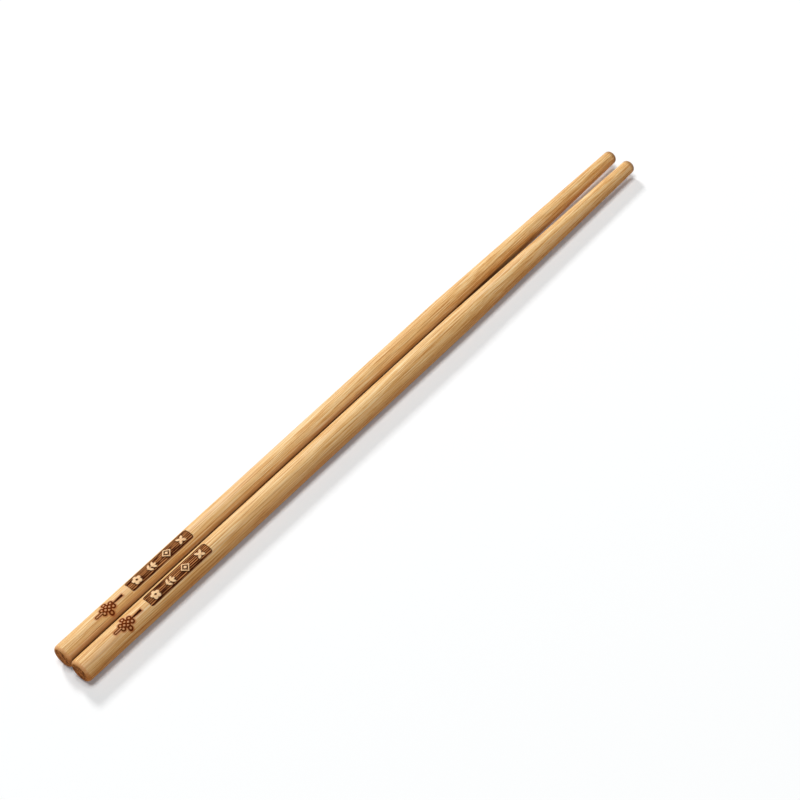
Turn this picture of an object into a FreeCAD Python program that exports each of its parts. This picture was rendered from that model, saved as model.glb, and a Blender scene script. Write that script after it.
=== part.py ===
import FreeCAD, Part
import math
import os
from FreeCAD import Vector

# A pair of turned bamboo chopsticks, lying side by side as they rest on a table.
# Millimetres. X runs from the thick ends to the eating tips, Y across the pair, Z up.

# Each stick: a plain round handle, then a long straight taper to a rounded tip
stick_length = 240.0
handle_diameter = 7.2
tip_diameter = 4.3
taper_start = 157.0
butt_round_along = 1.2
butt_round_across = 0.9
tip_rounding = 1.1

# How the two sticks lie: the gap between them, how far the right one lags behind the
# left one, and how far each is rolled about its own axis towards the right
side_gap = 0.3
end_offset = 0.5
left_roll = 6.0
right_roll = 13.0

# Everything burnt in is this deep, measured square to the round surface
engraving_depth = 0.18

# The burnt panel, with raised ornaments in a row
panel_start = 25.95
panel_length = 23.65
panel_width = 4.1
panel_corner = 0.75
panel_shift = 0.27
ornament_pitch = 5.7

# The ornaments: a plum blossom, a sprig of leaves, a lozenge and a cross of petals
blossom_reach = 0.93
blossom_petal = 0.6
blossom_petals = 5
blossom_eye = 0.36
leaf_length = 1.7
leaf_width = 0.74
leaf_spread = 48.0
sprig_length = 3.3
sprig_stem = 0.28
lozenge_side = 2.3
lozenge_band = 0.36
lozenge_core = 0.8
petal_length = 1.62
petal_width = 0.9

# The endless knot, between the panel and the thick end
knot_centre = 17.55
knot_shift = -0.2
knot_stroke = 0.42
lattice_pitch = 1.02
ear_radius = 0.54
side_ear_along = 1.62
side_ear_across = 0.62
end_ear_across = 1.66
hanger_start = 1.5
hanger_length = 3.0
hanger_width = 0.66
hanger_stroke = 0.3
cord_reach = 1.5
cord_length = 1.15
tassel_length = 3.0
tassel_top = 0.5
tassel_foot = 0.8

# How far the cutting prisms stand out of the stick
prism_reach = 1.0

handle_radius = handle_diameter / 2
tip_radius = tip_diameter / 2
axis_direction = Vector(1, 0, 0)
axis_origin = Vector(0, 0, 0)


def arc(start, middle, end):
    return Part.Arc(start, middle, end).toShape()


def line(start, end):
    return Part.LineSegment(start, end).toShape()


def turned_stick(inset):
    """A stick turned about X, with its long surface moved inwards by the inset."""
    outer = handle_radius - inset
    tip = tip_radius - inset
    slope = math.atan2(outer - tip, stick_length - taper_start)

    # The butt's edge is a quarter of an ellipse
    butt_start = Vector(0, outer - butt_round_across, 0)
    butt_end = Vector(butt_round_along, outer, 0)
    butt_ellipse = Part.Ellipse(Vector(butt_round_along, outer - butt_round_across, 0),
                                butt_round_along, butt_round_across)

    knee = Vector(taper_start, outer, 0)

    # The tip is an arc tangent to the taper and to the small flat at the end
    centre_x = stick_length - tip_rounding
    centre_r = tip + tip_rounding * math.tan(slope) - tip_rounding / math.cos(slope)
    centre = Vector(centre_x, centre_r, 0)
    half = (math.pi / 2 - slope) / 2
    tip_start = centre + Vector(math.sin(slope), math.cos(slope), 0) * tip_rounding
    tip_middle = centre + Vector(math.cos(half), math.sin(half), 0) * tip_rounding
    tip_end = centre + Vector(tip_rounding, 0, 0)

    outline = [
        line(axis_origin, butt_start),
        Part.ArcOfEllipse(butt_ellipse, math.pi / 2, math.pi).toShape(),
        line(butt_end, knee),
        line(knee, tip_start),
        arc(tip_start, tip_middle, tip_end),
        line(tip_end, Vector(stick_length, 0, 0)),
        line(Vector(stick_length, 0, 0), axis_origin),
    ]
    return Part.Face(Part.Wire(outline)).revolve(axis_origin, axis_direction, 360)


def joined(faces):
    """Flat faces fused into one outline."""
    return faces[0].multiFuse(faces[1:]).removeSplitter()


def disc(x, y, radius):
    return Part.Face(Part.Wire(Part.makeCircle(radius, Vector(x, y, 0))))


def bar(x, y, length, width, angle):
    """A rectangle centred on x, y, with its length turned by the angle from X."""
    face = Part.makePlane(length, width, Vector(x - length / 2, y - width / 2, 0))
    return face.rotate(Vector(x, y, 0), Vector(0, 0, 1), angle)


def leaf(x, y, length, width, angle):
    """A pointed leaf that starts at x, y, made of two equal arcs."""
    start = Vector(x, y, 0)
    end = Vector(x + length, y, 0)
    upper = arc(start, Vector(x + length / 2, y + width / 2, 0), end)
    lower = arc(end, Vector(x + length / 2, y - width / 2, 0), start)
    return Part.Face(Part.Wire([upper, lower])).rotate(start, Vector(0, 0, 1), angle)


def stadium(x0, x1, y, width):
    """A bar along X with round ends, from x0 to x1."""
    radius = width / 2
    middle = bar((x0 + x1) / 2, y, x1 - x0 - width, width, 0)
    return joined([middle, disc(x0 + radius, y, radius), disc(x1 - radius, y, radius)])


def panel_outline():
    """The panel's rectangle with rounded corners."""
    x0 = panel_start
    y0 = panel_shift - panel_width / 2
    long_way = bar(x0 + panel_length / 2, panel_shift, panel_length, panel_width - 2 * panel_corner, 0)
    short_way = bar(x0 + panel_length / 2, panel_shift, panel_length - 2 * panel_corner, panel_width, 0)
    corners = []
    for x in (x0 + panel_corner, x0 + panel_length - panel_corner):
        for y in (y0 + panel_corner, y0 + panel_width - panel_corner):
            corners.append(disc(x, y, panel_corner))
    return joined([long_way, short_way] + corners)


def plum_blossom(x, y):
    petals = []
    for i in range(blossom_petals):
        turn = math.radians(90 + 360 * i / blossom_petals)
        petals.append(disc(x + blossom_reach * math.cos(turn), y + blossom_reach * math.sin(turn), blossom_petal))
    return joined(petals + [disc(x, y, blossom_reach)]).cut(disc(x, y, blossom_eye))


def leaf_sprig(x, y):
    foot = x - sprig_length / 2
    pieces = [bar(x - sprig_length / 4, y, sprig_length / 2, sprig_stem, 0)]
    pieces.append(leaf(x + sprig_length / 2 - leaf_length, y, leaf_length, leaf_width, 0))
    for start in (foot + sprig_stem, x):
        for side in (-1, 1):
            pieces.append(leaf(start, y, leaf_length, leaf_width, side * leaf_spread))
    return joined(pieces)


def lozenge(x, y):
    inside = lozenge_side - 2 * lozenge_band
    frame = bar(x, y, lozenge_side, lozenge_side, 45).cut(bar(x, y, inside, inside, 45))
    return joined([frame, bar(x, y, lozenge_core, lozenge_core, 45)])


def petal_cross(x, y):
    return joined([leaf(x, y, petal_length, petal_width, 45 + 90 * i) for i in range(4)])


def burnt_panel():
    """The panel with its four ornaments left standing."""
    outline = panel_outline()
    middle = panel_start + panel_length / 2
    ornaments = [plum_blossom, leaf_sprig, lozenge, petal_cross]
    for i, ornament in enumerate(ornaments):
        x = middle + (i - (len(ornaments) - 1) / 2) * ornament_pitch
        outline = outline.cut(ornament(x, panel_shift))
    return outline


def knot_ears():
    """The middles of the six round loops about the knot's lattice."""
    ears = []
    for side in (-1, 1):
        ears.append((knot_centre, knot_shift + side * end_ear_across))
        for end in (-1, 1):
            ears.append((knot_centre + end * side_ear_along, knot_shift + side * side_ear_across))
    return ears


def tassel(x, y):
    """The tassel, which hangs from x, y along X and widens towards its foot."""
    corners = [
        Vector(x, y - tassel_top / 2, 0),
        Vector(x + tassel_length, y - tassel_foot / 2, 0),
        Vector(x + tassel_length, y + tassel_foot / 2, 0),
        Vector(x, y + tassel_top / 2, 0),
    ]
    return Part.Face(Part.makePolygon(corners + corners[:1]))


def endless_knot():
    """Three strands each way, looped at the sides, with a hanger and a tassel."""
    x = knot_centre
    y = knot_shift
    strand = 2 * lattice_pitch + knot_stroke
    offset = lattice_pitch * math.sqrt(0.5)
    pieces = []
    for i in (-1, 0, 1):
        pieces.append(bar(x + i * offset, y - i * offset, strand, knot_stroke, 45))
        pieces.append(bar(x + i * offset, y + i * offset, strand, knot_stroke, -45))
    for ear in knot_ears():
        pieces.append(disc(ear[0], ear[1], ear_radius + knot_stroke / 2))

    hanger_tip = x - hanger_start - hanger_length
    pieces.append(stadium(hanger_tip, x - hanger_start, y, hanger_width + hanger_stroke))
    cord_start = x + cord_reach
    pieces.append(bar(cord_start + cord_length / 2, y, cord_length, knot_stroke, 0))
    pieces.append(tassel(cord_start + cord_length, y))

    knot = joined(pieces)
    for ear in knot_ears():
        knot = knot.cut(disc(ear[0], ear[1], ear_radius - knot_stroke / 2))
    inside = hanger_width - hanger_stroke
    return knot.cut(stadium(hanger_tip + hanger_stroke, x - hanger_start - hanger_stroke, y, inside))


def engraved_stick():
    """One stick along X from the origin, engraved on the side that faces up."""
    stick = turned_stick(0)
    floor = turned_stick(engraving_depth)
    reach = Vector(0, 0, handle_radius + prism_reach)
    for drawing in (burnt_panel(), endless_knot()):
        stick = stick.cut(drawing.extrude(reach).cut(floor))
    return stick.removeSplitter()


def laid_down(stick, roll, side):
    """The stick rolled about its axis and set on the table, on the side +1 left or -1 right."""
    placed = stick.copy()
    placed.rotate(axis_origin, axis_direction, roll)
    x = (side * end_offset - stick_length) / 2
    y = side * (handle_radius + side_gap / 2)
    placed.translate(Vector(x, y, handle_radius))
    return placed


def main():
    os.makedirs("parts", exist_ok=True)
    stick = engraved_stick()
    pair = {
        "chopstick_left": laid_down(stick, left_roll, 1),
        "chopstick_right": laid_down(stick, right_roll, -1),
    }
    for name, shape in pair.items():
        shape.exportStep("parts/" + name + ".step")
        print(name, shape.ShapeType, len(shape.Solids), "solid", round(shape.Volume, 1), "mm3", shape.isValid())


main()
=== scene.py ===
import math
import bpy
import numpy as np
from mathutils import Matrix, Vector


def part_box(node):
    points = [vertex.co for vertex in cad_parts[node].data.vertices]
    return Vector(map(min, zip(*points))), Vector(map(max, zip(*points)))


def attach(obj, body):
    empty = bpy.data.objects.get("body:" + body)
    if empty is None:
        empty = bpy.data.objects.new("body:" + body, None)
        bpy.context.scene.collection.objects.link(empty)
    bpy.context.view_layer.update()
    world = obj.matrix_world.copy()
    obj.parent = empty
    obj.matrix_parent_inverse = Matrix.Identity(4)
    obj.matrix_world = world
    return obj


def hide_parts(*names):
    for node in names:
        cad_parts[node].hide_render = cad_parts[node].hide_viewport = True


# A pair of round bamboo chopsticks with a burnt panel and an endless knot near the thick ends.
# Shapes are worked out in millimetres on the stick's own frame: x along it from the thick end,
# y across it, z towards the side that carries the engraving.

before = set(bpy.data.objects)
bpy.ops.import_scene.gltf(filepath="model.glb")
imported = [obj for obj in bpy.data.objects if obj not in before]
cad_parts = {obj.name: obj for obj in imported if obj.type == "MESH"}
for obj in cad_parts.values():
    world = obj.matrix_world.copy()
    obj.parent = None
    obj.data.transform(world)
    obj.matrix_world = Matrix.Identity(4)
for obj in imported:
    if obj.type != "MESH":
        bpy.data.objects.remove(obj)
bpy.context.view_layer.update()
mm = 0.001
tiny = 0.001  # keeps a division off zero
print("chopsticks: the packed pair is loaded")

# One stick. The grid is fine over the engraving and coarse elsewhere.
stick = {
    "tipRadius": 2.15,
    "taperStart": 157.0,
    "buttRoundAlong": 1.2,
    "buttRoundAcross": 0.9,
    "tipRounding": 1.1,
    "finePitch": 0.066,
    "fineFrom": 12.7,
    "fineTo": 49.9,
    "fineAcross": 2.7,
    "coarsePitch": 2.6,
    "coarseTurn": 4.7,
    "roundingRows": 9,
    "buttRings": (0, 0.2, 0.4, 0.6, 0.8, 0.94),  # rings on each flat end, as shares of its radius
    "tipRings": (0.8, 0.4, 0),
    "slideReach": 0.45,  # how far a point may slide onto an edge, as a share of the fine pitch
    "sandingWave": 0.012,
    "waveLengths": (9.0, 23.0),
    "smoothCore": 1.0,  # no wave within this radius
}

# How each stick lies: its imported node, its roll about its own axis in degrees, and a seed for its wood
pair = {
    "stick_left": {"node": "chopstick_left", "roll": 6.0, "seed": 3.7},
    "stick_right": {"node": "chopstick_right", "roll": 13.0, "seed": 8.6},
}


# Where a stick lies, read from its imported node: the thick end's middle, the length and the handle's radius
def placeOf(node):
    low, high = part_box(node)
    return {
        "butt": Vector((low.x, (low.y + high.y) / 2, (low.z + high.z) / 2)),
        "length": (high.x - low.x) / mm,
        "radius": (high.z - low.z) / 2 / mm,
    }


# The burnt panel and what stands in it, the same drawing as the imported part's
panel = {
    "start": 25.95,
    "length": 23.65,
    "width": 4.1,
    "corner": 0.75,
    "shift": 0.27,
    "pitch": 5.7,
    "blossomReach": 0.93,
    "blossomPetal": 0.6,
    "blossomPetals": 5,
    "blossomEye": 0.36,
    "leafLength": 1.7,
    "leafWidth": 0.74,
    "leafSpread": 48.0,
    "sprigLength": 3.3,
    "sprigStem": 0.28,
    "lozengeSide": 2.3,
    "lozengeBand": 0.36,
    "lozengeCore": 0.8,
    "petalLength": 1.62,
    "petalWidth": 0.9,
}

# The endless knot with its hanger and tassel
knot = {
    "centre": 17.55,
    "shift": -0.2,
    "stroke": 0.42,
    "pitch": 1.02,
    "earRadius": 0.54,
    "sideEarAlong": 1.62,
    "sideEarAcross": 0.62,
    "endEarAcross": 1.66,
    "hangerStart": 1.5,
    "hangerLength": 3.0,
    "hangerWidth": 0.66,
    "hangerStroke": 0.3,
    "cordReach": 1.5,
    "cordLength": 1.15,
    "tasselLength": 3.0,
    "tasselTop": 0.5,
    "tasselFoot": 0.8,
}

# How the beam cut: its depth, the run of its walls, and the fine lines that its passes left
cut = {
    "depth": 0.18,
    "wall": 0.06,
    "passPitch": 0.58,
    "passRelief": 0.012,
}


# A signed distance is negative inside a shape. This gives points their place in a frame that is
# centred on cx, cy and turned by an angle in degrees.
def turned(x, y, cx, cy, degrees):
    c = math.cos(math.radians(degrees))
    s = math.sin(math.radians(degrees))
    return (x - cx) * c + (y - cy) * s, (y - cy) * c - (x - cx) * s


# Distance to a rectangle: how far the point lies past its half sides, less the corner's radius
def barDistance(x, y, cx, cy, length, width, degrees=0.0, corner=0.0):
    u, v = turned(x, y, cx, cy, degrees)
    du = np.abs(u) - length / 2 + corner
    dv = np.abs(v) - width / 2 + corner
    outside = np.hypot(np.maximum(du, 0), np.maximum(dv, 0))
    return outside + np.minimum(np.maximum(du, dv), 0) - corner


# Distance to a bar with round ends that runs along x from x0 to x1
def slotDistance(x, y, x0, x1, cy, width):
    return barDistance(x, y, (x0 + x1) / 2, cy, x1 - x0, width, 0, width / 2)


# Distance to a bar that starts at x0 and widens evenly: how far the point lies past its half width
# there, or past either end
def wedgeDistance(x, y, x0, cy, length, startWidth, endWidth):
    share = np.clip((x - x0) / length, 0, 1)
    half = (startWidth + (endWidth - startWidth) * share) / 2
    return np.maximum.reduce([np.abs(y - cy) - half, x0 - x, x - x0 - length])


# Distance to a disc: the distance from its middle less its radius
def discDistance(x, y, cx, cy, radius):
    return np.hypot(x - cx, y - cy) - radius


# Distance to a leaf that starts at sx, sy: what two equal discs share, each sunk past the middle line
def leafDistance(x, y, sx, sy, length, width, degrees):
    u, v = turned(x, y, sx, sy, degrees)
    half = width / 2
    radius = (length ** 2 / 4 + half ** 2) / (2 * half)
    return np.hypot(u - length / 2, np.abs(v) + radius - half) - radius


# Several shapes as one: the least of their distances
def joined(*distances):
    return np.minimum.reduce(distances)


# A shape less its holes: the greatest of its own distance and of the holes' distances turned round
def without(distance, *holes):
    return np.maximum.reduce([distance] + [-hole for hole in holes])


# Five round petals about a disc, with a burnt eye
def blossomDistance(x, y, cx, cy):
    reach = panel["blossomReach"]
    petals = []
    for i in range(panel["blossomPetals"]):
        turn = math.radians(90 + 360 * i / panel["blossomPetals"])
        petals.append(discDistance(x, y, cx + reach * math.cos(turn), cy + reach * math.sin(turn),
                                   panel["blossomPetal"]))
    flower = joined(discDistance(x, y, cx, cy, reach), *petals)
    return without(flower, discDistance(x, y, cx, cy, panel["blossomEye"]))


# A stem with two pairs of leaves and one at its end
def sprigDistance(x, y, cx, cy):
    length = panel["sprigLength"]
    leafLength = panel["leafLength"]
    leafWidth = panel["leafWidth"]
    parts = [barDistance(x, y, cx - length / 4, cy, length / 2, panel["sprigStem"])]
    parts.append(leafDistance(x, y, cx + length / 2 - leafLength, cy, leafLength, leafWidth, 0))
    for start in (cx - length / 2 + panel["sprigStem"], cx):
        for side in (-1, 1):
            parts.append(leafDistance(x, y, start, cy, leafLength, leafWidth, side * panel["leafSpread"]))
    return joined(*parts)


# A square frame on its corner with a small square inside
def lozengeDistance(x, y, cx, cy):
    side = panel["lozengeSide"]
    inside = side - 2 * panel["lozengeBand"]
    core = panel["lozengeCore"]
    ring = without(barDistance(x, y, cx, cy, side, side, 45), barDistance(x, y, cx, cy, inside, inside, 45))
    return joined(ring, barDistance(x, y, cx, cy, core, core, 45))


# Four leaves that meet at the middle
def crossDistance(x, y, cx, cy):
    length = panel["petalLength"]
    width = panel["petalWidth"]
    return joined(*[leafDistance(x, y, cx, cy, length, width, turn) for turn in range(45, 360, 90)])


# The burnt ground: the rounded rectangle without the four ornaments
def panelDistance(x, y):
    middle = panel["start"] + panel["length"] / 2
    ground = barDistance(x, y, middle, panel["shift"], panel["length"], panel["width"], 0, panel["corner"])
    ornaments = (blossomDistance, sprigDistance, lozengeDistance, crossDistance)
    standing = []
    for i, ornament in enumerate(ornaments):
        place = middle + (i - (len(ornaments) - 1) / 2) * panel["pitch"]
        standing.append(ornament(x, y, place, panel["shift"]))
    return without(ground, *standing)


# Six strands crossing at right angles, six round ears, a hanger loop, a cord and a tassel
def knotDistance(x, y):
    cx = knot["centre"]
    cy = knot["shift"]
    stroke = knot["stroke"]
    radius = knot["earRadius"]
    strand = 2 * knot["pitch"] + stroke
    lines = []
    for i in (-1, 0, 1):
        offset = i * knot["pitch"] * math.sqrt(0.5)
        lines.append(barDistance(x, y, cx + offset, cy - offset, strand, stroke, 45))
        lines.append(barDistance(x, y, cx + offset, cy + offset, strand, stroke, -45))
    holes = []
    for side in (-1, 1):
        ears = [(0, knot["endEarAcross"])]
        ears += [(end * knot["sideEarAlong"], knot["sideEarAcross"]) for end in (-1, 1)]
        for along, across in ears:
            lines.append(discDistance(x, y, cx + along, cy + side * across, radius + stroke / 2))
            holes.append(discDistance(x, y, cx + along, cy + side * across, radius - stroke / 2))
    loopEnd = cx - knot["hangerStart"]
    loopTip = loopEnd - knot["hangerLength"]
    width = knot["hangerWidth"]
    loop = knot["hangerStroke"]
    lines.append(slotDistance(x, y, loopTip, loopEnd, cy, width + loop))
    holes.append(slotDistance(x, y, loopTip + loop, loopEnd - loop, cy, width - loop))
    cord = knot["cordLength"]
    cordStart = cx + knot["cordReach"]
    lines.append(barDistance(x, y, cordStart + cord / 2, cy, cord, stroke))
    lines.append(wedgeDistance(x, y, cordStart + cord, cy, knot["tasselLength"], knot["tasselTop"],
                               knot["tasselFoot"]))
    return without(joined(*lines), *holes)


# All that is burnt in: the nearer of the panel and the knot
def engravedDistance(x, y):
    return joined(panelDistance(x, y), knotDistance(x, y))


# Evenly spaced values from a to b, no further apart than the step
def spaced(a, b, step):
    return np.linspace(a, b, max(2, math.ceil((b - a) / step) + 1))


# The stick's outline from the middle of the thick end to the middle of the tip: flat face, quarter
# ellipse, straight handle, straight taper, an arc tangent to it, and a small flat. Gives for each row
# its x, its radius, and how squarely it faces along the stick.
def outlineRows(length, radius):
    tip = stick["tipRadius"]
    along = stick["buttRoundAlong"]
    across = stick["buttRoundAcross"]
    rounding = stick["tipRounding"]
    slope = math.atan2(radius - tip, length - stick["taperStart"])
    flat = radius - across
    turn = np.linspace(0, math.pi / 2, stick["roundingRows"])

    faceRadius = flat * np.array(stick["buttRings"])
    rows = [(faceRadius * 0, faceRadius, faceRadius * 0 + 1)]
    rows.append((along * (1 - np.cos(turn)), flat + across * np.sin(turn), np.cos(turn)))
    for a, b, step in ((along, stick["fineFrom"], stick["coarsePitch"]),
                       (stick["fineFrom"], stick["fineTo"], stick["finePitch"]),
                       (stick["fineTo"], stick["taperStart"], stick["coarsePitch"])):
        x = spaced(a, b, step)[1:]
        rows.append((x, x * 0 + radius, x * 0))

    centreX = length - rounding
    centreRadius = tip + rounding * math.tan(slope) - rounding / math.cos(slope)
    x = spaced(stick["taperStart"], centreX + rounding * math.sin(slope), stick["coarsePitch"])[1:]
    rows.append((x, radius - (x - stick["taperStart"]) * math.tan(slope), x * 0))
    turn = np.linspace(slope, math.pi / 2, stick["roundingRows"])[1:]
    rows.append((centreX + rounding * np.sin(turn), centreRadius + rounding * np.cos(turn), np.sin(turn)))
    faceRadius = centreRadius * np.array(stick["tipRings"])
    rows.append((faceRadius * 0 + length, faceRadius, faceRadius * 0 + 1))
    return [np.concatenate(column) for column in zip(*rows)]


# The angles of the columns, from the underside round to the underside again, fine across the engraving
def columnTurns(radius):
    edge = math.asin(stick["fineAcross"] / radius)
    fine = np.arcsin(spaced(-stick["fineAcross"], stick["fineAcross"], stick["finePitch"]) / radius)
    coarse = spaced(edge, math.pi, math.radians(stick["coarseTurn"]))[1:]
    return np.concatenate([-coarse[::-1], fine, coarse])


# Points within half a cell of the engraving's edge slide onto it, along the distance's own slope,
# so that the grid follows the drawing instead of cutting it in steps
def slideToEdge(x, y):
    nudge = 0.01
    reach = stick["slideReach"] * stick["finePitch"]
    distance = engravedDistance(x, y)
    slopeX = (engravedDistance(x + nudge, y) - engravedDistance(x - nudge, y)) / (2 * nudge)
    slopeY = (engravedDistance(x, y + nudge) - engravedDistance(x, y - nudge)) / (2 * nudge)
    move = np.where(np.abs(distance) < reach, -distance, 0)
    return x + move * slopeX, y + move * slopeY


# 0 below the low value, 1 above the high one, and smooth between
def eased(value, low, high):
    t = np.clip((value - low) / (high - low), 0, 1)
    return t * t * (3 - 2 * t)


# One stick's surface on a grid of rows by columns: x and the radius come from the outline, the angle
# from the column. Where the drawing is burnt, the radius drops by the depth behind a short wall.
def stickSurface(length, radius, seed):
    rowX, rowRadius, facing = outlineRows(length, radius)
    turns = columnTurns(radius)[:-1]
    x, turn = np.meshgrid(rowX, turns, indexing="ij")
    rowRadii = np.repeat(rowRadius[:, None], len(turns), 1)

    across = rowRadii * np.sin(turn)
    inside = (x > stick["fineFrom"]) & (x < stick["fineTo"]) & (np.cos(turn) > 0)
    inside &= np.abs(across) < stick["fineAcross"]
    slidX, slidY = slideToEdge(x, across)
    x = np.where(inside, slidX, x)
    across = np.where(inside, slidY, across)
    turn = np.where(inside, np.arcsin(np.clip(across / np.maximum(rowRadii, tiny), -1, 1)), turn)

    far = 9.0  # the distance stored where the drawing is out of reach
    above = np.cos(turn) > 0
    panelEdge = np.where(above, panelDistance(x, across), far)
    knotEdge = np.where(above, knotDistance(x, across), far)
    burnt = eased(-np.minimum(panelEdge, knotEdge), 0, cut["wall"])
    passes = cut["passRelief"] * (0.5 + 0.5 * np.cos(2 * math.pi * across / cut["passPitch"]))
    short, long = stick["waveLengths"]
    wave = 0.5 + 0.25 * np.sin(x / short + seed + 2 * turn) + 0.25 * np.sin(x / long - seed + turn)
    depth = (cut["depth"] - passes) * burnt + stick["sandingWave"] * wave * (1 - facing[:, None])
    depth = np.where(rowRadii > stick["smoothCore"], depth, 0)
    r = rowRadii - depth
    return {
        "x": x,
        "y": r * np.sin(turn),
        "z": r * np.cos(turn),
        "panelEdge": panelEdge,
        "knotEdge": knotEdge,
        "facing": np.repeat(facing[:, None], len(turns), 1),
        "rowX": rowX,
        "rowRadius": rowRadius,
    }


# Where the stick's skin lies on its map: a window for the engraving at full detail, a round patch for
# each end, and the rest unrolled along the map, drawn out across the fibres
skinMap = {
    "window": (0.005, 0.005, 0.995, 0.165),
    "butt": (0.005, 0.18, 0.145, 0.32),
    "tip": (0.16, 0.18, 0.26, 0.28),
    "rest": (0.005, 0.335, 0.995, 0.995),
    "buttFacing": 0.1,  # a face that looks along the stick by more than this goes to its end's patch
    "tipFacing": 0.3,
}


# Each face corner's place on the map: x and the angle, or y and z on an end, as shares of their box
def skinPlaces(surface, radius):
    rowX = surface["rowX"]
    turns = columnTurns(radius)
    columns = len(turns) - 1
    row = np.arange(len(rowX) - 1)[:, None, None] + np.array([0, 1, 1, 0])
    column = np.arange(columns)[None, :, None] + np.array([0, 0, 1, 1])
    row, column = np.broadcast_arrays(row, column)
    x = rowX[row]
    turn = turns[column]
    facing = surface["facing"][:, 0]
    y = surface["rowRadius"][row] * np.sin(turn)
    z = surface["rowRadius"][row] * np.cos(turn)

    def placed(box, u, v):
        return np.stack([box[0] + (box[2] - box[0]) * u, box[1] + (box[3] - box[1]) * v], -1)

    length = rowX.max()
    windowU = (x - stick["fineFrom"]) / (stick["fineTo"] - stick["fineFrom"])
    windowV = (radius * np.sin(turn) + stick["fineAcross"]) / (2 * stick["fineAcross"])
    places = placed(skinMap["rest"], x / length, (turn + math.pi) / (2 * math.pi))
    faceX = x.mean(-1)
    faceTurn = turn.mean(-1)
    faceEnd = facing[row].mean(-1)
    edge = math.asin(stick["fineAcross"] / radius)
    window = (faceX > stick["fineFrom"]) & (faceX < stick["fineTo"]) & (np.abs(faceTurn) < edge)
    butt = (faceEnd > skinMap["buttFacing"]) & (faceX < length / 2)
    tip = (faceEnd > skinMap["tipFacing"]) & (faceX > length / 2)
    places = np.where(window[..., None, None], placed(skinMap["window"], windowU, windowV), places)
    disc = 0.5 + 0.5 * y / radius, 0.5 + 0.5 * z / radius
    places = np.where(butt[..., None, None], placed(skinMap["butt"], *disc), places)
    disc = 0.5 + 0.5 * y / stick["tipRadius"], 0.5 + 0.5 * z / stick["tipRadius"]
    places = np.where(tip[..., None, None], placed(skinMap["tip"], *disc), places)
    return places


# A mesh from its points, each face's corners and their number, each corner's place on the map, and
# values stored on the points
def meshFrom(name, points, corners, sizes, uv, stored):
    mesh = bpy.data.meshes.new(name)
    mesh.vertices.add(len(points))
    mesh.vertices.foreach_set("co", points.ravel())
    mesh.loops.add(len(corners))
    mesh.loops.foreach_set("vertex_index", corners)
    mesh.polygons.add(len(sizes))
    mesh.polygons.foreach_set("loop_start", np.concatenate([[0], np.cumsum(sizes)[:-1]]))
    mesh.polygons.foreach_set("use_smooth", np.ones(len(sizes), bool))
    mesh.update(calc_edges=True)
    mesh.uv_layers.new(name="OFBake").uv.foreach_set("vector", uv.astype(np.float32).ravel())
    for key, values in stored.items():
        mesh.attributes.new(key, "FLOAT", "POINT").data.foreach_set("value", values.astype(np.float32))
    if mesh.validate():
        print(name, "had faults in its mesh")
    return mesh


# The surface turned by the stick's roll: each point moves round the axis by that angle. It also gets
# how squarely it faces the other stick, as the share of its distance from the axis that lies that way.
def rolled(surface, degrees, side):
    roll = math.radians(degrees)
    y = surface["y"] * math.cos(roll) - surface["z"] * math.sin(roll)
    z = surface["y"] * math.sin(roll) + surface["z"] * math.cos(roll)
    gapward = -side * y / np.maximum(np.hypot(y, z), tiny)
    return {**surface, "y": y, "z": z, "gapward": gapward}


# The mesh of a stick: the grid closed round the axis, with one point at the middle of each end
def buildStick(name, spec):
    place = placeOf(spec["node"])
    surface = stickSurface(place["length"], place["radius"], spec["seed"])
    surface = rolled(surface, spec["roll"], math.copysign(1, place["butt"].y))
    rows, columns = surface["x"].shape
    grid = np.stack([surface["x"], surface["y"], surface["z"]], -1) * mm + np.array(place["butt"])

    # The first and last rows are all one point, so each becomes the middle of a fan of triangles
    def closed(values):
        return np.concatenate([values[0, :1], values[1:-1].reshape(-1, *values.shape[2:]), values[-1, :1]])

    points = closed(grid)
    number = np.arange(len(points) - 2).reshape(rows - 2, columns) + 1
    after = np.roll(number, -1, 1)
    quads = np.stack([number[:-1], number[1:], after[1:], after[:-1]], -1)
    buttFan = np.stack([np.zeros(columns, int), number[0], after[0]], -1)
    tipFan = np.stack([number[-1], np.full(columns, len(points) - 1), after[-1]], -1)
    corners = np.concatenate([quads.ravel(), buttFan.ravel(), tipFan.ravel()])
    quadCount = quads.size // 4
    sizes = np.concatenate([np.full(quadCount, 4), np.full(2 * columns, 3)])

    places = skinPlaces(surface, place["radius"])
    uv = np.concatenate([places[1:-1].reshape(-1, 2), places[0][:, [0, 1, 2]].reshape(-1, 2),
                         places[-1][:, [0, 1, 3]].reshape(-1, 2)])
    stored = {key: closed(surface[key]) for key in ("panelEdge", "knotEdge", "facing", "gapward")}
    piece = bpy.data.objects.new(name, meshFrom(name, points, corners, sizes, uv, stored))
    bpy.context.scene.collection.objects.link(piece)
    print("chopsticks:", name, "has", quadCount * 2 + 2 * columns, "triangles")
    return piece, place


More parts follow.
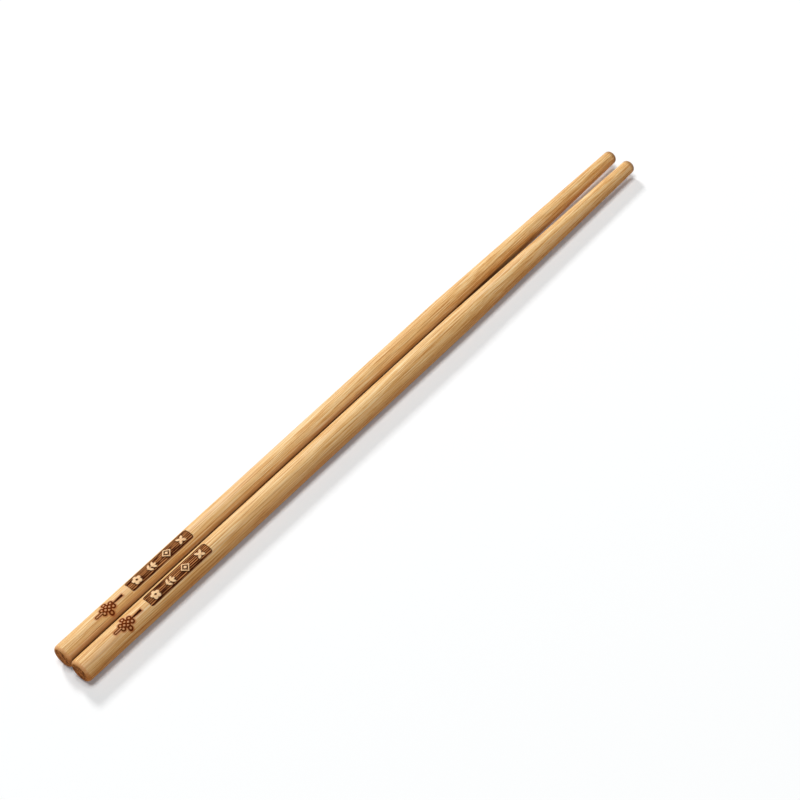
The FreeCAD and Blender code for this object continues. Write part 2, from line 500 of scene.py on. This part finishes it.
# The nodes of a material or a world, and the one way to add a node: its settings first, then its sockets
class Finish:
    def __init__(self, owner):
        owner.use_nodes = True
        self.tree = owner.node_tree
        self.tree.nodes.clear()

    def node(self, kind, settings=None, sockets=None, output=0):
        node = self.tree.nodes.new("ShaderNode" + kind)
        for key, value in (settings or {}).items():
            if key == "stops":
                self.setStops(node.color_ramp, value)
            else:
                setattr(node, key, value)
        for key, value in (sockets or {}).items():
            if isinstance(value, Wire):
                self.tree.links.new(value.socket, node.inputs[key])
            else:
                node.inputs[key].default_value = value
        return Wire(self, node.outputs[output]) if len(node.outputs) else node

    def setStops(self, ramp, stops):
        while len(ramp.elements) < len(stops):
            ramp.elements.new(1.0)
        for element, (position, colour) in zip(ramp.elements, stops):
            element.position = position
            element.color = colour

    # A float stored on the mesh
    def stored(self, name):
        return self.node("Attribute", {"attribute_name": name}, output=2)

    # Smooth noise about 0.5 over a vector
    def noise(self, vector, detail=2.0, roughness=0.5):
        sockets = {"Vector": vector, "Scale": 1.0, "Detail": detail, "Roughness": roughness}
        return self.node("TexNoise", {}, sockets)

    # Distance to the nearest of the cells' middles over a vector
    def cells(self, vector):
        return self.node("TexVoronoi", {"feature": "F1"}, {"Vector": vector, "Scale": 1.0})

    # A vector whose parts are divided by three lengths, then moved by an offset
    def stretched(self, parts, lengths, offset):
        sockets = {i: parts[i] * (1 / lengths[i]) + offset * (i + 1) for i in range(3)}
        return self.node("CombineXYZ", {}, sockets)

    # 0 at the first value, 1 at the second, smooth between; the first may be the larger
    def ease(self, value, low, high):
        sockets = {"Value": value, "From Min": low, "From Max": high, "To Min": 0.0, "To Max": 1.0}
        return self.node("MapRange", {"interpolation_type": "SMOOTHSTEP"}, sockets)

    # The first colour, with the second laid over it by a share
    def mixed(self, share, first, second):
        return self.node("Mix", {"data_type": "RGBA"}, {0: share, 6: first, 7: second}, output=2)


# A socket that takes part in Python's sums: each operator adds a Math node
class Wire:
    def __init__(self, finish, socket):
        self.finish = finish
        self.socket = socket

    def maths(self, operation, first, second=0.0):
        return self.finish.node("Math", {"operation": operation}, {0: first, 1: second})

    def __add__(self, other):
        return self.maths("ADD", self, other)

    def __radd__(self, other):
        return self.maths("ADD", other, self)

    def __sub__(self, other):
        return self.maths("SUBTRACT", self, other)

    def __rsub__(self, other):
        return self.maths("SUBTRACT", other, self)

    def __mul__(self, other):
        return self.maths("MULTIPLY", self, other)

    def __rmul__(self, other):
        return self.maths("MULTIPLY", other, self)

    def sine(self):
        return self.maths("SINE", self)

    def size(self):
        return self.maths("ABSOLUTE", self)

    def larger(self, other):
        return self.maths("MAXIMUM", self, other)


# A colour given as it looks on screen, 0 to 255, as the shader's linear values
def tint(red, green, blue):
    linear = []
    for part in (red / 255, green / 255, blue / 255):
        linear.append(part / 12.92 if part <= 0.04045 else ((part + 0.055) / 1.055) ** 2.4)
    return (*linear, 1.0)


# The bamboo. Each pattern has two lengths in millimetres, along the fibres and across them.
# A spot's pair gives where it fades out and where it is full, as shares of a cell.
bamboo = {
    "amber": tint(202, 138, 70),
    "honey": tint(233, 182, 112),
    "straw": tint(247, 206, 143),
    "pale": tint(255, 230, 182),
    "rampPlaces": (0.1, 0.36, 0.6, 0.88),
    "streak": (26.0, 0.3),
    "streakForce": 2.1,
    "thread": (9.0, 0.1),
    "threadForce": 1.7,
    "patch": (80.0, 2.4),
    "patchForce": 0.7,
    "blush": tint(238, 178, 132),
    "blushPatch": (0.52, 0.72),
    "blushShare": 0.3,
    "fibre": tint(150, 90, 40),
    "bundle": (48.0, 0.44),
    "bundleSpot": (0.36, 0.16),
    "bundleShare": 0.3,
    "ringSpot": (0.5, 0.36),
    "dash": (8.0, 0.15),
    "dashSpot": (0.2, 0.08),
    "dashShare": 0.38,
    "drift": (60.0, 6.0),
    "driftReach": 0.35,
    "mottle": (30.0, 1.3),
    "char": (5.0, 0.7),
    "roughness": 0.5,
    "streakRoughness": 0.14,
    "relief": 0.02,
    "threadRelief": 0.6,
    "streakRelief": 0.5,
    "dashRelief": 0.25,
    "specular": 0.05,
    "ior": 1.45,
    "sheen": 0.42,
    "sheenRoughness": 0.5,
}

# The painted shade where the sticks lie against each other: how squarely a side has to face the gap, and
# where along the stick the painted shade and its painted dark shadow line fade
gapShade = {
    "shady": tint(150, 80, 18),
    "shadyFacing": (0.66, 0.96),
    "shadyFade": (200.0, 150.0),
    "shadyLeast": 0.15,
    "shadyMore": 0.45,
    "line": tint(70, 32, 8),
    "lineFacing": (0.925, 0.97),
    "lineFade": (215.0, 165.0),
    "lineShare": 0.85,
}

# The cut ends and the rounding about them. The pairs called facing say how squarely a face looks
# along the stick.
ends = {
    "dark": tint(92, 54, 30),
    "light": tint(228, 166, 112),
    "lightness": 0.66,
    "mottleForce": 2.8,
    "streakForce": 1.6,
    "ringForce": 0.15,
    "bundleShare": 0.6,
    "faceFacing": (0.93, 0.999),
    "rim": tint(226, 166, 112),
    # the tip's darker rim and end: partly a stain, partly painted shade
    "tipRim": tint(122, 72, 34),
    "rimChange": (100.0, 140.0),
    "rimFacing": (0.05, 0.5),
    "rimShare": 0.7,
    # where the tip's darker end begins: partly a stain, partly painted shade
    "tipStainAndShade": (237.8, 239.4),
    "roughFacing": (0.7, 0.95),
    "moreRoughness": 0.25,
    "dullFacing": (0.95, 0.6),
}

# What the beam left: the panel's ground, its passes, and the knot's browns from hanger to tassel
scorch = {
    "ground": tint(56, 14, 2),
    "black": tint(42, 12, 2),
    "blackInside": (-0.26, -0.06),
    "blackShare": 0.85,
    "pass": tint(226, 154, 94),
    "passLines": (0.56, 0.94),
    "passShare": 0.9,
    "charForce": 2.0,
    "threadForce": 1.2,
    "hanger": tint(96, 50, 8),
    "hangerEnd": (15.4, 16.6),
    "strand": tint(108, 44, 8),
    "tassel": tint(44, 14, 4),
    "tasselStart": (19.2, 20.6),
    "emberThread": (0.5, 0.75),
    "emberShare": 0.35,
    "halo": tint(188, 106, 50),
    "haloReach": 0.14,
    "haloShare": 0.35,
    "knotHaloReach": 0.58,
    "knotHaloShare": 0.8,
    "kept": tint(253, 216, 172),
    "keptShare": 0.45,
    "keptSoftness": 0.05,
    "edge": 0.03,
    "roughness": 0.9,
}


# A point's place on its own stick in millimetres: less the thick end's middle, turned back by the roll
def ownCoordinates(f, place, roll):
    sockets = {"Vector": f.node("TexCoord", output=3), "Location": place["butt"],
               "Rotation": (math.radians(roll), 0, 0), "Scale": (mm, mm, mm)}
    own = f.node("Mapping", {"vector_type": "TEXTURE"}, sockets)
    separate = f.node("SeparateXYZ", {}, {"Vector": own}).socket.node
    return [Wire(f, output) for output in separate.outputs]


# The wood's patterns: noises and cells over coordinates that are divided by each pattern's lengths.
# Two slow noises move those coordinates first, so that the fibres wander as they run.
def woodGrain(f, x, y, z, seed):
    along, across = bamboo["drift"]
    reach = 2 * bamboo["driftReach"]
    driftY = f.noise(f.stretched((x, y, z), (along, across, across), seed), 1.0) - 0.5
    driftZ = f.noise(f.stretched((x, y, z), (along, across, across), seed + 5.3), 1.0) - 0.5
    parts = (x, y + driftY * reach, z + driftZ * reach)

    # Each pattern has an offset of its own, so that no two line up
    def spread(key, offset):
        along, across = bamboo[key]
        return f.stretched(parts, (along, across, across), seed + offset)

    bundles = f.cells(spread("bundle", 7.7))
    return {
        "streak": f.noise(spread("streak", 1.1), 3.0, 0.6),
        "thread": f.noise(spread("thread", 2.3), 2.0, 0.6),
        "patch": f.noise(spread("patch", 4.9), 2.0, 0.5),
        "mottle": f.noise(spread("mottle", 3.3), 2.0, 0.6),
        "char": f.noise(spread("char", 6.1), 2.0, 0.6),
        "bundle": f.ease(bundles, *bamboo["bundleSpot"]),
        "ring": f.ease(bundles, *bamboo["ringSpot"]),
        "dash": f.ease(f.cells(spread("dash", 9.1)), *bamboo["dashSpot"]),
    }


# The long surface: a ramp over streaks, threads and patches, then blushes, bundles and dashes
def woodColour(f, grain):
    level = 0.5 + (grain["streak"] - 0.5) * bamboo["streakForce"]
    level = level + (grain["thread"] - 0.5) * bamboo["threadForce"]
    level = level + (grain["patch"] - 0.5) * bamboo["patchForce"]
    colours = [bamboo[key] for key in ("amber", "honey", "straw", "pale")]
    wood = f.node("ValToRGB", {"stops": list(zip(bamboo["rampPlaces"], colours))}, {"Fac": level})
    blush = f.ease(grain["patch"], *bamboo["blushPatch"]) * bamboo["blushShare"]
    wood = f.mixed(blush, wood, bamboo["blush"])
    wood = f.mixed(grain["bundle"] * bamboo["bundleShare"], wood, bamboo["fibre"])
    return f.mixed(grain["dash"] * bamboo["dashShare"], wood, bamboo["fibre"])


# Painted shade on the sides that lie against each other, less where the tapers part, with a painted dark
# shadow line where they all but touch
def paintGapShade(f, wood, x):
    gapward = f.stored("gapward")
    along = gapShade["shadyLeast"] + f.ease(x, *gapShade["shadyFade"]) * gapShade["shadyMore"]
    wood = f.mixed(f.ease(gapward, *gapShade["shadyFacing"]) * along, wood, gapShade["shady"])
    line = f.ease(gapward, *gapShade["lineFacing"]) * f.ease(x, *gapShade["lineFade"]) * gapShade["lineShare"]
    return f.mixed(line, wood, gapShade["line"])


# The cut ends: dark bundles in a mottled brown ground, with a rim where the edge is rounded, and a darker
# tip end that is partly a stain and partly painted shade
def endsColoured(f, wood, grain, x, facing):
    ground = ends["lightness"] + (grain["mottle"] - 0.5) * ends["mottleForce"]
    ground = ground + (grain["streak"] - 0.5) * ends["streakForce"] - grain["ring"] * ends["ringForce"]
    face = f.mixed(ground, ends["dark"], ends["light"])
    face = f.mixed(grain["bundle"] * ends["bundleShare"], face, ends["dark"])
    rim = f.mixed(f.ease(x, *ends["rimChange"]), ends["rim"], ends["tipRim"])
    rimStainAndShade = f.ease(x, *ends["tipStainAndShade"]).larger(f.ease(facing, *ends["rimFacing"])) * ends["rimShare"]
    wood = f.mixed(rimStainAndShade, wood, rim)
    return f.mixed(f.ease(facing, *ends["faceFacing"]), wood, face)


# The panel's ground: dark, with paler lines where the passes met, and darkest against its edges
def panelColour(f, grain, y, panelEdge):
    passes = 0.5 + 0.5 * (y * (2 * math.pi / cut["passPitch"])).sine()
    uneven = (grain["char"] - 0.5) * scorch["charForce"] + (grain["thread"] - 0.5) * scorch["threadForce"]
    lines = f.ease(passes + uneven, *scorch["passLines"]) * scorch["passShare"]
    ground = f.mixed(lines, scorch["ground"], scorch["pass"])
    black = f.ease(panelEdge, *scorch["blackInside"]) * scorch["blackShare"]
    return f.mixed(black, ground, scorch["black"])


# The knot's brown changes along the stick, from the hanger to the strands to the near-black tassel
def knotColour(f, grain, x):
    colour = f.mixed(f.ease(x, *scorch["hangerEnd"]), scorch["hanger"], scorch["strand"])
    colour = f.mixed(f.ease(x, *scorch["tasselStart"]), colour, scorch["tassel"])
    ember = f.ease(grain["thread"], *scorch["emberThread"]) * scorch["emberShare"]
    return f.mixed(ember, colour, scorch["halo"])


# 1 inside the panel's rectangle and 0 outside it
def panelPlace(f, x, y):
    soft = scorch["keptSoftness"]
    start = panel["start"]
    end = start + panel["length"]
    half = panel["width"] / 2
    along = f.ease(x, start - soft, start + soft) * f.ease(x, end + soft, end - soft)
    return along * f.ease((y - panel["shift"]).size(), half + soft, half - soft)


# The wood about the beam's marks: paler on the ornaments, and toasted close to what is burnt
def toasted(f, wood, x, y, panelEdge, knotEdge):
    wood = f.mixed(panelPlace(f, x, y) * scorch["keptShare"], wood, scorch["kept"])
    panelHalo = f.ease(panelEdge, scorch["haloReach"], 0.0) * scorch["haloShare"]
    knotHalo = f.ease(knotEdge, scorch["knotHaloReach"], 0.0) * scorch["knotHaloShare"]
    wood = f.mixed(panelHalo, wood, scorch["halo"])
    return f.mixed(knotHalo, wood, scorch["halo"])


# Bamboo right through: every pattern fills the stick's volume, drawn out along the fibres, so that
# the sides show streaks and the cut ends show the same bundles as dots
def bambooFinish(name, place, spec):
    material = bpy.data.materials.new(name)
    f = Finish(material)
    x, y, z = ownCoordinates(f, place, spec["roll"])
    grain = woodGrain(f, x, y, z, spec["seed"])
    facing = f.stored("facing")
    panelEdge = f.stored("panelEdge")
    knotEdge = f.stored("knotEdge")

    # painted shade on the sides that face the other stick, and a painted shadow line along the gap
    wood = paintGapShade(f, woodColour(f, grain), x)
    wood = endsColoured(f, wood, grain, x, facing)
    wood = toasted(f, wood, x, y, panelEdge, knotEdge)
    burntPanel = f.ease(panelEdge, scorch["edge"] / 3, -scorch["edge"])
    burntKnot = f.ease(knotEdge, scorch["edge"] / 3, -scorch["edge"])
    burnt = burntPanel.larger(burntKnot)
    colour = f.mixed(burntPanel, wood, panelColour(f, grain, y, panelEdge))
    colour = f.mixed(burntKnot, colour, knotColour(f, grain, x))

    rough = bamboo["roughness"] + (grain["streak"] - 0.5) * bamboo["streakRoughness"]
    rough = rough + f.ease(facing, *ends["roughFacing"]) * ends["moreRoughness"]
    rough = rough + burnt * (scorch["roughness"] - bamboo["roughness"])
    height = (grain["thread"] - 0.5) * bamboo["threadRelief"]
    height = height + (grain["streak"] - 0.5) * bamboo["streakRelief"]
    height = height - grain["dash"] * bamboo["dashRelief"]
    normal = f.node("Bump", {}, {"Height": height, "Distance": bamboo["relief"] * mm, "Strength": 1.0})
    sheen = (1 - burnt) * f.ease(facing, *ends["dullFacing"]) * bamboo["sheen"]
    shader = f.node("BsdfPrincipled", {}, {
        "Base Color": colour,
        "Roughness": rough,
        "Normal": normal,
        "IOR": bamboo["ior"],
        "Specular IOR Level": bamboo["specular"],
        "Coat Weight": sheen,
        "Coat Roughness": bamboo["sheenRoughness"],
        "Coat IOR": bamboo["ior"],
    })
    f.node("OutputMaterial", {}, {"Surface": shader})
    return material


for name, spec in pair.items():
    piece, place = buildStick(name, spec)
    piece.data.materials.append(bambooFinish("bamboo_" + name, place, spec))
    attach(piece, "root")
    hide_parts(spec["node"])
print("chopsticks: both sticks are in place")

# The stage: a floor that looks white, keeps the shadow and throws a warmer, dimmer light back, a weak
# warm fill, and two soft lamps. The top one lights the rounds from above, and the side one throws the
# long shadow towards the right.
stage = {
    "floorHalf": 1.0,
    "floorColour": tint(246, 247, 247),
    "bounceColour": tint(208, 174, 132),
    "floorLift": 0.16,
    "liftColour": tint(216, 238, 255),
    "fill": 0.08,
    "fillColour": tint(255, 214, 170),
    "lampDistance": 5.0,
    "lamps": {
        "top": {"power": 152.0, "size": 2.2, "azimuth": 95.0, "elevation": 88.0},
        "side": {"power": 130.0, "size": 0.82, "azimuth": 68.0, "elevation": 36.0},
    },
}


# 1 for what the camera sees straight, in a mirror or through glass, and 0 for light on its way
def seenRays(f):
    path = f.node("LightPath").socket.node
    seen = [Wire(f, path.outputs[key]) for key in ("Is Camera Ray", "Is Glossy Ray", "Is Transmission Ray")]
    return seen[0].larger(seen[1]).larger(seen[2])


# One square face at the height the sticks lie on, half its side each way from the middle
def buildFloor():
    half = stage["floorHalf"]
    mesh = bpy.data.meshes.new("floor")
    corners = [(-half, -half, 0), (half, -half, 0), (half, half, 0), (-half, half, 0)]
    mesh.from_pydata(corners, [], [(0, 1, 2, 3)])
    floor = bpy.data.objects.new("floor", mesh)
    bpy.context.scene.collection.objects.link(floor)
    material = bpy.data.materials.new("floor_white")
    f = Finish(material)
    colour = f.mixed(seenRays(f), stage["bounceColour"], stage["floorColour"])
    matt = f.node("BsdfDiffuse", {}, {"Color": colour})
    glow = seenRays(f) * stage["floorLift"]
    lift = f.node("Emission", {}, {"Color": stage["liftColour"], "Strength": glow})
    both = f.node("AddShader", {}, {0: matt, 1: lift})
    f.node("OutputMaterial", {}, {"Surface": both})
    mesh.materials.append(material)


# White where the camera sees past the floor, and a weak warm light from all round for the rest
def buildWorld():
    world = bpy.data.worlds.new("studio")
    bpy.context.scene.world = world
    f = Finish(world)
    fill = f.node("Background", {}, {"Color": stage["fillColour"], "Strength": stage["fill"]})
    white = f.node("Background", {}, {"Color": (1, 1, 1, 1), "Strength": 1.0})
    both = f.node("MixShader", {}, {0: seenRays(f), 1: fill, 2: white})
    f.node("OutputWorld", {}, {"Surface": both})


# Square lamps that look at the pair's middle, each from its azimuth and elevation
def buildLamps():
    for name, spec in stage["lamps"].items():
        azimuth = math.radians(spec["azimuth"])
        elevation = math.radians(spec["elevation"])
        away = Vector((math.cos(azimuth) * math.cos(elevation), math.sin(azimuth) * math.cos(elevation),
                       math.sin(elevation)))
        light = bpy.data.lights.new("lamp_" + name, "AREA")
        light.energy = spec["power"]
        light.size = spec["size"]
        lamp = bpy.data.objects.new("lamp_" + name, light)
        lamp.location = away * stage["lampDistance"]
        lamp.rotation_euler = away.to_track_quat("Z", "Y").to_euler()
        bpy.context.scene.collection.objects.link(lamp)


# The camera stands at an azimuth and a tilt from its target, rolled about its line of sight. Places
# are in millimetres, and the focal length is in pixels of the square frame.
view = {
    "target": (2.700, -9.859, 3.7175),
    "azimuth": -2.2777,  # in radians, as the tilt and the roll are
    "tilt": 0.8047,
    "roll": -0.1971,
    "distance": 644.75,
    "focalPixels": 2235.907,
    "framePixels": 800,
    "sensor": 36.0,
    "clip": (10.0, 20000.0),
}


# Its three axes come from the line of sight and the level right of it, both turned by the roll
def buildCamera():
    tilt = view["tilt"]
    back = Vector((math.cos(view["azimuth"]) * math.cos(tilt), math.sin(view["azimuth"]) * math.cos(tilt),
                   math.sin(tilt)))
    right = (-back).cross(Vector((0, 0, 1))).normalized()
    up = right.cross(-back)
    c = math.cos(view["roll"])
    s = math.sin(view["roll"])
    rightRolled = right * c + up * s
    upRolled = up * c - right * s
    camera = bpy.data.objects.new("camera", bpy.data.cameras.new("camera"))
    place = (Vector(view["target"]) + back * view["distance"]) * mm
    turn = Matrix((rightRolled, upRolled, back)).transposed()
    camera.matrix_world = Matrix.Translation(place) @ turn.to_4x4()
    camera.data.sensor_width = view["sensor"]
    camera.data.lens = view["sensor"] * view["focalPixels"] / view["framePixels"]
    camera.data.clip_start = view["clip"][0] * mm
    camera.data.clip_end = view["clip"][1] * mm
    bpy.context.scene.collection.objects.link(camera)
    bpy.context.scene.camera = camera


buildFloor()
buildWorld()
buildLamps()
buildCamera()
bpy.context.scene.view_settings.view_transform = "Standard"
print("chopsticks: floor, light and camera are set")
